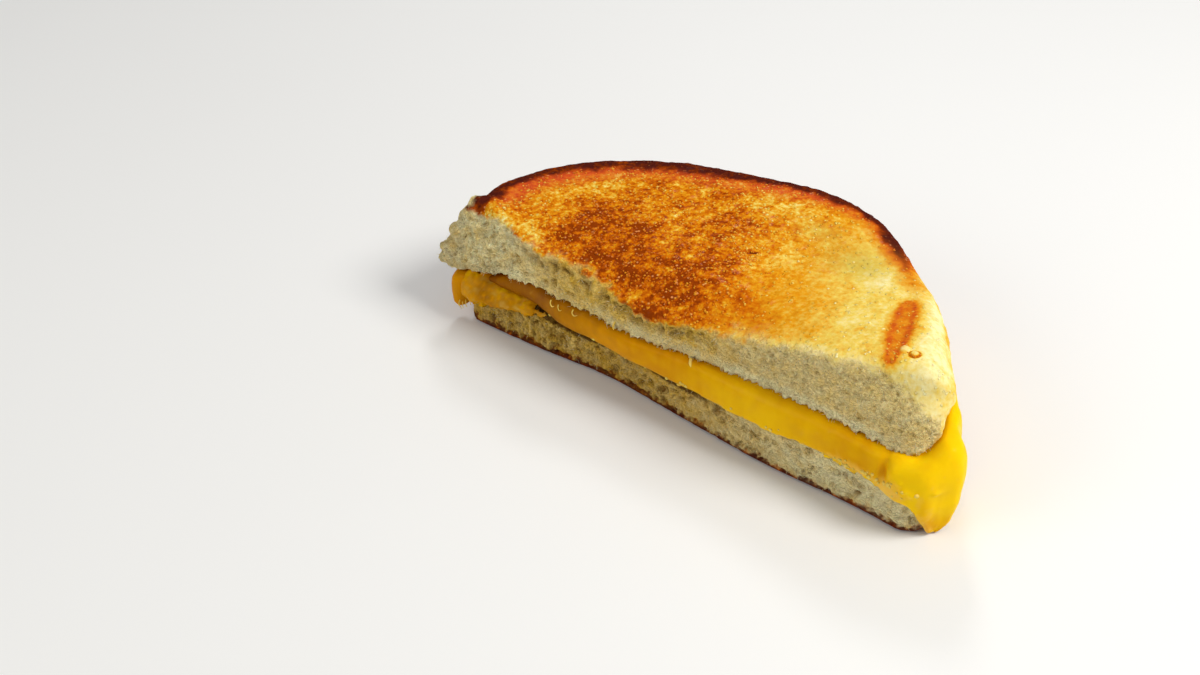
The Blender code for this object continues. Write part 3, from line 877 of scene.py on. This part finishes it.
def bread_material(name, look):
    """Browned, mottled, buttery bread outside and open crumb inside, both on one piece."""
    recipe = Recipe(name)
    crumb = recipe.mark("crumb")
    pore = recipe.mark("pore")
    toast = recipe.mark("toast")
    fresh = recipe.mark("fresh")
    mottled = recipe.mark("mottled")

    broad = recipe.noise(6.5 * MM, 2.0, 0.55)
    patches = recipe.noise(2.6 * MM, 3.0, 0.6)
    grains = recipe.noise(0.95 * MM, 2.0, 0.6)
    dark = toast.step(0.42, 0.7)
    # Painted highlights: small pale spots in the browned patches stand in for glints of light; they also
    # lift the bump
    glints = recipe.cells(1.35 * MM).step(0.27, 0.17) * (patches + broad).step(0.9, 1.05)
    mottle = (broad - 0.5) * (0.45 + 0.3 * dark) + (patches - 0.5) * (0.75 + 0.5 * dark)
    mottle = mottle + (0.5 - grains) * 0.9 - glints * (0.2 + 0.06 * dark)
    tone = toast + mottle * mottled * (1.7 * look.speckle) + (look.browning - 0.5)
    tone = tone.at_most(0.82 + toast.step(0.75, 0.92) * 0.18)
    skin = browned(recipe, look, tone)
    skin = recipe.mix(recipe.mark("blush") * (0.45 + 0.6 * patches), skin, look.blush)
    skin = recipe.mix(glints * dark * (0.5 - toast.step(0.78, 0.92) * 0.4), skin, look.glint)
    skin = recipe.mix(recipe.mark("green"), skin, look.green)

    fringe = recipe.mark("fringe")
    strands = recipe.noise(0.5 * MM, 3.0, 0.65)
    cloudy = recipe.noise(2.6 * MM, 2.0, 0.6)
    webs = recipe.noise(1.0, 2.0, 0.6, recipe.stretched((700.0, 700.0, 1300.0)))
    threads = (webs - 0.5).size().step(0.06, 0.0)
    middle = recipe.noise(1.2 * MM, 1.0)
    fluffy = fresh.step(0.62, 0.82)
    # Painted shade: the crumb turns to the crumb shade colour in its pores and in dark noise, on top of
    # the real pores of the mesh
    depth = pore * 0.65 + (strands - 0.5) * (1.15 - fluffy * 0.45) + (middle - 0.5) * 0.8
    depth = depth + (cloudy - 0.5) * 0.6 + 0.21 - fluffy * 0.06
    depth = (depth - threads * 0.3 - fringe * 0.5).step(0.0, 1.1)
    freshness = fresh + fringe * 0.45 + (cloudy - 0.5) * (1.0 + fluffy * 0.8)
    pale = recipe.mix(freshness, look.crumb_oily, look.crumb)
    inside = recipe.mix(depth, pale, look.crumb_shade)
    # Painted shade and browning: the marked crumb turns brown, and darkest at the foot, in the painted
    # shadow of the gap and under the lip
    hollow = recipe.mark("hollow")
    brown = hollow * (0.6 + 0.4 * pore + (strands - 0.5) * 1.4 - threads * 0.25)
    inside = recipe.mix(brown, inside, look.brown_and_shaded_crumb)
    inside = recipe.mix(hollow.step(0.8, 1.05) * 0.85, inside, look.dark_foot_and_gap_shadow)
    inside = recipe.mix(fringe * (1 - depth * 0.6), inside, pale)
    colour = recipe.mix(crumb, skin, inside)

    oily = recipe.noise(1.6 * MM, 2.0, 0.6).step(0.52, 0.68)
    height = (patches * 0.5 + grains * (0.25 + 0.35 * dark)) * (1 - crumb)
    height = height + (strands * 1.4 + threads * 0.7) * crumb + glints * 0.5
    roughness = 0.45 + crumb * 0.4 + broad * 0.1
    coat = (oily * (1 - crumb) * 0.08, 0.24)
    soft = (0.1, (1.0, 0.6, 0.3), 0.8 * MM)
    relief = recipe.bump(height, 0.9, 0.5 * MM)
    return recipe.finish(colour, roughness, coat, soft, 0.0, relief)


def cheese_material(name, look, paleness):
    """Melted cheese, darker with painted shade where the ribbon is narrow and paler where it is thin."""
    recipe = Recipe(name)
    deep = recipe.mark("deep")
    runs = recipe.noise(1.0, 2.0, 0.5, recipe.stretched((450.0, 400.0, 60.0)))
    clouds = recipe.noise(4 * MM, 2.0)
    tone = deep + (clouds - 0.5) * 0.2 + (runs - 0.5) * 0.12
    # The ramp runs from the bright cheese through amber to the painted shade and the painted shadow of the
    # gap
    shades = ((0.0, look.bright), (0.36, look.amber), (0.68, look.deep), (1.0, look.gap))
    colour = recipe.mix(recipe.mark("thin") * paleness, recipe.ramp(tone, shades), look.film)
    fine = recipe.noise(0.8 * MM, 2.0)
    roughness = look.gloss + (clouds - 0.5) * 0.2
    coat = (0.02 + 0.08 * clouds.step(0.5, 0.7), 0.12)
    soft = (0.2, (1.0, 0.5, 0.06), 1.5 * MM)
    relief = recipe.bump(fine * 0.4 + runs, 0.25, 0.3 * MM)
    return recipe.finish(colour, roughness, coat, soft, 0.02, relief)


def plain_finish(name, colour, size, roughness, shine=0.0):
    """A finish for small loose bits, a little lighter and darker from place to place."""
    recipe = Recipe(name)
    tone = recipe.noise(size, 2.0)
    varied = recipe.mix(tone.step(0.3, 0.7), tuple(0.8 * part for part in colour), colour)
    roughness = roughness + (tone - 0.5) * 0.2
    soft = (0.4, (1.0, 0.7, 0.3), 0.8 * MM)
    return recipe.finish(varied, roughness, (shine, 0.2), soft, 0.1)


def butter_finish(look):
    """Beads of butter take the colour of the bread under them, made a little lighter as painted
    highlights.
    """
    recipe = Recipe("butter")
    tone = recipe.noise(0.6 * MM, 2.0)
    colour = browned(recipe, look, recipe.mark("toast") + (tone - 0.5) * 0.3)
    return recipe.finish(colour, 0.2 + tone * 0.3, (0.1, 0.12), specular=0.1)


# Small things

def surface_of(*names):
    """The surfaces of the pieces named, to drop things on."""
    graph = bpy.context.evaluated_depsgraph_get()
    return [BVHTree.FromObject(bpy.data.objects[name], graph) for name in names]


def surface_distance(skin, chosen, name):
    """Distance from the chosen points to another piece. All other points count as far from it."""
    (tree,) = surface_of(name)
    distance = np.full(skin.count, FAR)
    for index in chosen:
        distance[index] = tree.find_nearest(skin.place[index] * MM)[3] / MM
    return distance


def first_hit(trees, start, direction):
    """Nearest point where a ray meets one of the surfaces, with the surface's normal there."""
    hits = [tree.ray_cast(start, direction) for tree in trees]
    hits = [hit for hit in hits if hit[0] is not None]
    return min(hits, key=lambda hit: hit[3])[:2] if hits else (None, None)


def scattered(name, places, size, rng, flatness):
    """One mesh of many small rounded bits, each lying on its place."""
    bits = bmesh.new()
    for place, normal in places:
        turn = normal.to_track_quat("Z", "Y").to_matrix().to_4x4()
        spin = Matrix.Rotation(rng.uniform(0, 2 * math.pi), 4, "Z")
        radius = size * rng.uniform(0.55, 1.5)
        form = Matrix.Diagonal((radius * rng.uniform(0.7, 1.3), radius, radius * flatness, 1.0))
        made = bmesh.ops.create_icosphere(bits, subdivisions=1, radius=1.0)
        for vert in made["verts"]:
            vert.co *= rng.uniform(0.85, 1.15)
        form = Matrix.Translation(place) @ turn @ spin @ form
        bmesh.ops.transform(bits, matrix=form, verts=made["verts"])
    return piece_of(bits, name)


class SANDWICH_OT_butter(bpy.types.Operator):
    """Leaves beads of butter on the browned face of the upper slice"""

    bl_idname = "sandwich.butter"
    bl_label = "Butter beads"

    def execute(self, context):
        look = context.scene.trim_look
        rng = random.Random(SEED)
        skin = Skin(bpy.data.objects["upper_slice"])
        toast = skin.kept("toast")
        chance = skin.kept("mottled") * (skin.up > 0.7) * (skin.kept("crumb") < 0.2)
        chance *= (toast < 0.85) * (rise(0.3, 0.7, toast) + 0.1)
        chosen = rng.choices(range(skin.count), weights=chance.tolist(), k=look.beads)
        places = []
        for index in chosen:
            shift = Vector((rng.uniform(-0.3, 0.3), rng.uniform(-0.3, 0.3), 0.0)) * MM
            places.append((Vector(skin.place[index] * MM) + shift, Vector(skin.normal[index])))
        piece = scattered("butter_beads", places, look.bead_size, rng, flatness=0.6)
        bead_points = len(piece.data.vertices) // len(places)
        # Painted highlight: each bead is paler than the bread under it, so that it shows as a glint
        lighter = [toast[index] - rng.uniform(0.04, 0.28) for index in chosen]
        Skin(piece).mark(toast=np.repeat(lighter, bead_points))
        finish_piece(piece, butter_finish(context.scene.bread_look), "bread")
        return {"FINISHED"}


FIBRE_WIDTH = 0.05 * MM


class SANDWICH_OT_fibres(bpy.types.Operator):
    """Stands short fibres on the crumb, most of them along the lower rim of the upper slice"""

    bl_idname = "sandwich.fibres"
    bl_label = "Fibres of the crumb"

    def execute(self, context):
        look = context.scene.trim_look
        rng = random.Random(SEED + 2)
        form = bmesh.new()
        for name, part in (("upper_slice", 0.7), ("lower_slice", 0.3)):
            skin = Skin(bpy.data.objects[name])
            chance = skin.kept("crumb") * (1.1 - skin.kept("pore")) * (0.3 + 1.5 * skin.kept("fringe"))
            chance *= skin.normal[:, 1] + 0.3 * skin.normal[:, 0] < -0.1
            number = round(part * look.fibres)
            for index in rng.choices(range(skin.count), weights=chance.tolist(), k=number):
                normal = Vector(skin.normal[index])
                lean = Vector((rng.gauss(0, 0.8), rng.gauss(0, 0.4), rng.gauss(-0.2, 0.7)))
                away = (normal + lean).normalized()
                if away.dot(normal) < 0.1:
                    continue
                tall = look.fibre_size * rng.uniform(0.4, 1.4)
                wide = FIBRE_WIDTH * rng.uniform(0.7, 1.5)
                made = bmesh.ops.create_cone(
                    form, cap_ends=True, segments=4, radius1=wide, radius2=0.2 * wide, depth=tall
                )
                turn = away.to_track_quat("Z", "Y").to_matrix().to_4x4()
                root = Vector(skin.place[index] * MM) + 0.4 * tall * away
                bmesh.ops.transform(form, matrix=Matrix.Translation(root) @ turn, verts=made["verts"])
        piece = piece_of(form, "crumb_fibres")
        finish_piece(piece, plain_finish("crumb_fibre", look.fibre, 5 * MM, roughness=0.8), "bread")
        return {"FINISHED"}


Strand = namedtuple("Strand", "radius points")  # in mm
STRANDS = (
    Strand(0.14, ((-32.1, -1.3, 17.7), (-32.2, -1.5, 16.9), (-31.7, -1.6, 16.3), (-31.1, -1.5, 16.6))),
    Strand(0.12, ((-30.0, -1.3, 17.3), (-30.0, -1.5, 16.6), (-29.5, -1.6, 16.1), (-29.0, -1.5, 16.4))),
    Strand(0.15, ((-25.7, -1.3, 17.8), (-25.8, -1.6, 17.1), (-25.3, -1.7, 16.6), (-24.4, -1.5, 16.9))),
    Strand(0.13, ((-61.6, -1.2, 5.6), (-61.7, -1.6, 4.4), (-61.2, -1.3, 3.2))),
    Strand(0.1, ((-60.9, -1.1, 5.3), (-60.6, -1.5, 4.3), (-60.7, -1.2, 3.5))),
    Strand(0.12, ((-60.1, -0.8, 6.0), (-59.8, -1.2, 4.9), (-59.9, -0.8, 3.9))),
    Strand(0.1, ((-58.9, -0.4, 6.6), (-58.6, -0.9, 5.6), (-58.9, -0.4, 4.6))),
    Strand(0.26, ((-14.4, -0.3, 19.2), (-14.5, -1.2, 18.3), (-14.1, -1.6, 17.6))),
    Strand(0.34, ((5.7, -0.6, 18.3), (6.1, -1.4, 17.7), (6.6, -1.7, 17.1))),
)


class SANDWICH_OT_strands(bpy.types.Operator):
    """Pulls thin strands of crumb and cheese down from the upper slice"""

    bl_idname = "sandwich.strands"
    bl_label = "Strands"

    def execute(self, context):
        curve = bpy.data.curves.new("strands", "CURVE")
        curve.dimensions = "3D"
        curve.bevel_depth = 1.0
        curve.bevel_resolution = 2
        curve.resolution_u = 6
        curve.use_fill_caps = True
        for strand in STRANDS:
            spline = curve.splines.new("BEZIER")
            spline.bezier_points.add(len(strand.points) - 1)
            for point, place in zip(spline.bezier_points, strand.points):
                point.co = MIDDLE + Vector(place) * MM
                point.radius = strand.radius * MM
                point.handle_left_type = "AUTO"
                point.handle_right_type = "AUTO"
            spline.bezier_points[-1].radius *= 0.4
        tube = bpy.data.objects.new("strands", curve)
        form = bmesh.new()
        form.from_mesh(bpy.data.meshes.new_from_object(tube))
        bpy.data.objects.remove(tube)
        bmesh.ops.remove_doubles(form, verts=form.verts, dist=0.5 * MERGE_DISTANCE)
        piece = piece_of(form, "strands")
        colour = context.scene.trim_look.crumb
        finish = plain_finish("strand", colour, 1.5 * MM, roughness=0.5, shine=0.4)
        finish_piece(piece, finish, "bread")
        return {"FINISHED"}


Cluster = namedtuple("Cluster", "x z spread_x spread_z count")
CRUMB_CLUSTERS = (
    Cluster(46 * MM, 11.4 * MM, 4.5 * MM, 0.6 * MM, 26),
    Cluster(57 * MM, 11.6 * MM, 2.0 * MM, 1.2 * MM, 6),
    Cluster(0 * MM, 11.4 * MM, 26.0 * MM, 0.6 * MM, 22),
)


class SANDWICH_OT_crumbs(bpy.types.Operator):
    """Drops loose crumbs along the cut"""

    bl_idname = "sandwich.crumbs"
    bl_label = "Loose crumbs"

    def execute(self, context):
        look = context.scene.trim_look
        rng = random.Random(SEED + 1)
        trees = surface_of("upper_slice", "lower_slice", "melted_cheese", "cheese_film")
        places = []
        for cluster in CRUMB_CLUSTERS:
            for _ in range(round(cluster.count * look.crumbs)):
                start = MIDDLE + Vector((rng.gauss(cluster.x, cluster.spread_x), -60 * MM, 0.0))
                start.z = rng.gauss(cluster.z, cluster.spread_z)
                place, normal = first_hit(trees, start, Vector((0, 1, 0)))
                if place is not None:
                    places.append((place, normal))
        piece = scattered("loose_crumbs", places, look.crumb_size, rng, flatness=0.8)
        finish = plain_finish("loose_crumb", look.crumb, 0.5 * MM, roughness=0.7, shine=0.1)
        finish_piece(piece, finish, "bread")
        return {"FINISHED"}


# Floor, lights and camera

CAMERA_TARGET = MIDDLE + Vector((0, 25, 14)) * MM
CAMERA_DISTANCE = 350 * MM
CAMERA_AZIMUTH = math.radians(36)
CAMERA_ELEVATION = math.radians(35.5)
TARGET_OFF_CENTRE = (0.08888, 0.01892)  # of the distance, to the right and up
SENSOR_WIDTH = 36.0  # mm
FLOOR_RADIUS = 3.0

Lamp = namedtuple("Lamp", "name place size tint")
LAMPS = (
    Lamp("key", (0.46, 0.12, 0.52), 0.3, (1.0, 0.985, 0.95)),
    Lamp("fill", (-0.3, -0.55, 0.4), 0.5, (1.0, 0.98, 0.93)),
    Lamp("glint", (-0.3, 0.42, 0.5), 0.14, (1.0, 1.0, 1.0)),
)
LAMP_TARGET = Vector((0, 0, 15 * MM))


def camera_axes():
    """The camera's right, up and back directions, turned so that the target is off the middle."""
    back = Vector((
        math.sin(CAMERA_AZIMUTH) * math.cos(CAMERA_ELEVATION),
        -math.cos(CAMERA_AZIMUTH) * math.cos(CAMERA_ELEVATION),
        math.sin(CAMERA_ELEVATION),
    ))
    right = Vector((math.cos(CAMERA_AZIMUTH), math.sin(CAMERA_AZIMUTH), 0.0))
    up = back.cross(right)
    turned_back = (back + TARGET_OFF_CENTRE[0] * right + TARGET_OFF_CENTRE[1] * up).normalized()
    turned_right = (right - right.dot(turned_back) * turned_back).normalized()
    return back, turned_right, turned_back.cross(turned_right), turned_back


def area_light(lamp, power):
    """A round lamp that shines on the sandwich."""
    data = bpy.data.lights.new(lamp.name, "AREA")
    data.energy = power
    data.color = lamp.tint
    data.shape = "DISK"
    data.size = lamp.size
    light = put(lamp.name, data)
    light.location = lamp.place
    light.rotation_euler = (LAMP_TARGET - Vector(lamp.place)).to_track_quat("-Z", "Y").to_euler()


class SANDWICH_OT_stage(bpy.types.Operator):
    """Makes the floor, the lights and the camera"""

    bl_idname = "sandwich.stage"
    bl_label = "Floor, lights and camera"

    def execute(self, context):
        look = context.scene.stage_look
        form = bmesh.new()
        bmesh.ops.create_circle(form, cap_ends=True, segments=64, radius=FLOOR_RADIUS)
        floor = piece_of(form, "floor")
        recipe = Recipe("floor")
        haze = recipe.noise(80 * MM, 2.0)
        shade = recipe.mix(haze, look.floor, tuple(0.985 * part for part in look.floor))
        floor.data.materials.append(recipe.finish(shade, roughness=0.6))
        floor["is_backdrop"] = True

        for lamp in LAMPS:
            area_light(lamp, getattr(look, lamp.name))
        world = bpy.data.worlds.new("surroundings")
        world.use_nodes = True
        background = world.node_tree.nodes["Background"]
        background.inputs["Color"].default_value = (1.0, 1.0, 1.0, 1.0)
        background.inputs["Strength"].default_value = look.sky
        context.scene.world = world
        context.scene.view_settings.view_transform = "Standard"

        back, right, up, turned_back = camera_axes()
        camera = put("camera", bpy.data.cameras.new("camera"))
        rotation = Matrix((right, up, turned_back)).transposed().to_4x4()
        camera.matrix_world = Matrix.Translation(CAMERA_TARGET + CAMERA_DISTANCE * back) @ rotation
        camera.data.sensor_width = SENSOR_WIDTH
        camera.data.lens = look.lens
        camera.data.clip_start = 10 * MM
        context.scene.camera = camera
        return {"FINISHED"}


OPERATORS = (
    SANDWICH_OT_upper_slice,
    SANDWICH_OT_lower_slice,
    SANDWICH_OT_cheese,
    SANDWICH_OT_cheese_film,
    SANDWICH_OT_butter,
    SANDWICH_OT_fibres,
    SANDWICH_OT_strands,
    SANDWICH_OT_crumbs,
    SANDWICH_OT_stage,
)
LOOKS = {
    "bread_look": BreadLook,
    "cheese_look": CheeseLook,
    "trim_look": TrimLook,
    "stage_look": StageLook,
}


class SANDWICH_PT_panel(bpy.types.Panel):
    """Lists the steps and sizes of the sandwich"""

    bl_idname = "SANDWICH_PT_panel"
    bl_label = "Grilled Cheese Half"
    bl_space_type = "VIEW_3D"
    bl_region_type = "UI"
    bl_category = "Sandwich"

    def draw(self, context):
        for operator in OPERATORS:
            self.layout.operator(operator.bl_idname)
        for name, look in LOOKS.items():
            box = self.layout.box()
            for setting in look.__annotations__:
                box.prop(getattr(context.scene, name), setting)


def register():
    for kind in (*LOOKS.values(), *OPERATORS, SANDWICH_PT_panel):
        bpy.utils.register_class(kind)
    for name, look in LOOKS.items():
        setattr(bpy.types.Scene, name, PointerProperty(type=look))


def unregister():
    for name in LOOKS:
        delattr(bpy.types.Scene, name)
    for kind in reversed((*LOOKS.values(), *OPERATORS, SANDWICH_PT_panel)):
        bpy.utils.unregister_class(kind)


def main():
    register()
    for operator in OPERATORS:
        group, name = operator.bl_idname.split(".")
        getattr(getattr(bpy.ops, group), name)()
    boxes = {"cad": CAD_BOX, "visual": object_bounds()}
    {name: [list(corner) for corner in box] for name, box in boxes.items()}


if __name__ == "__main__":
    main()
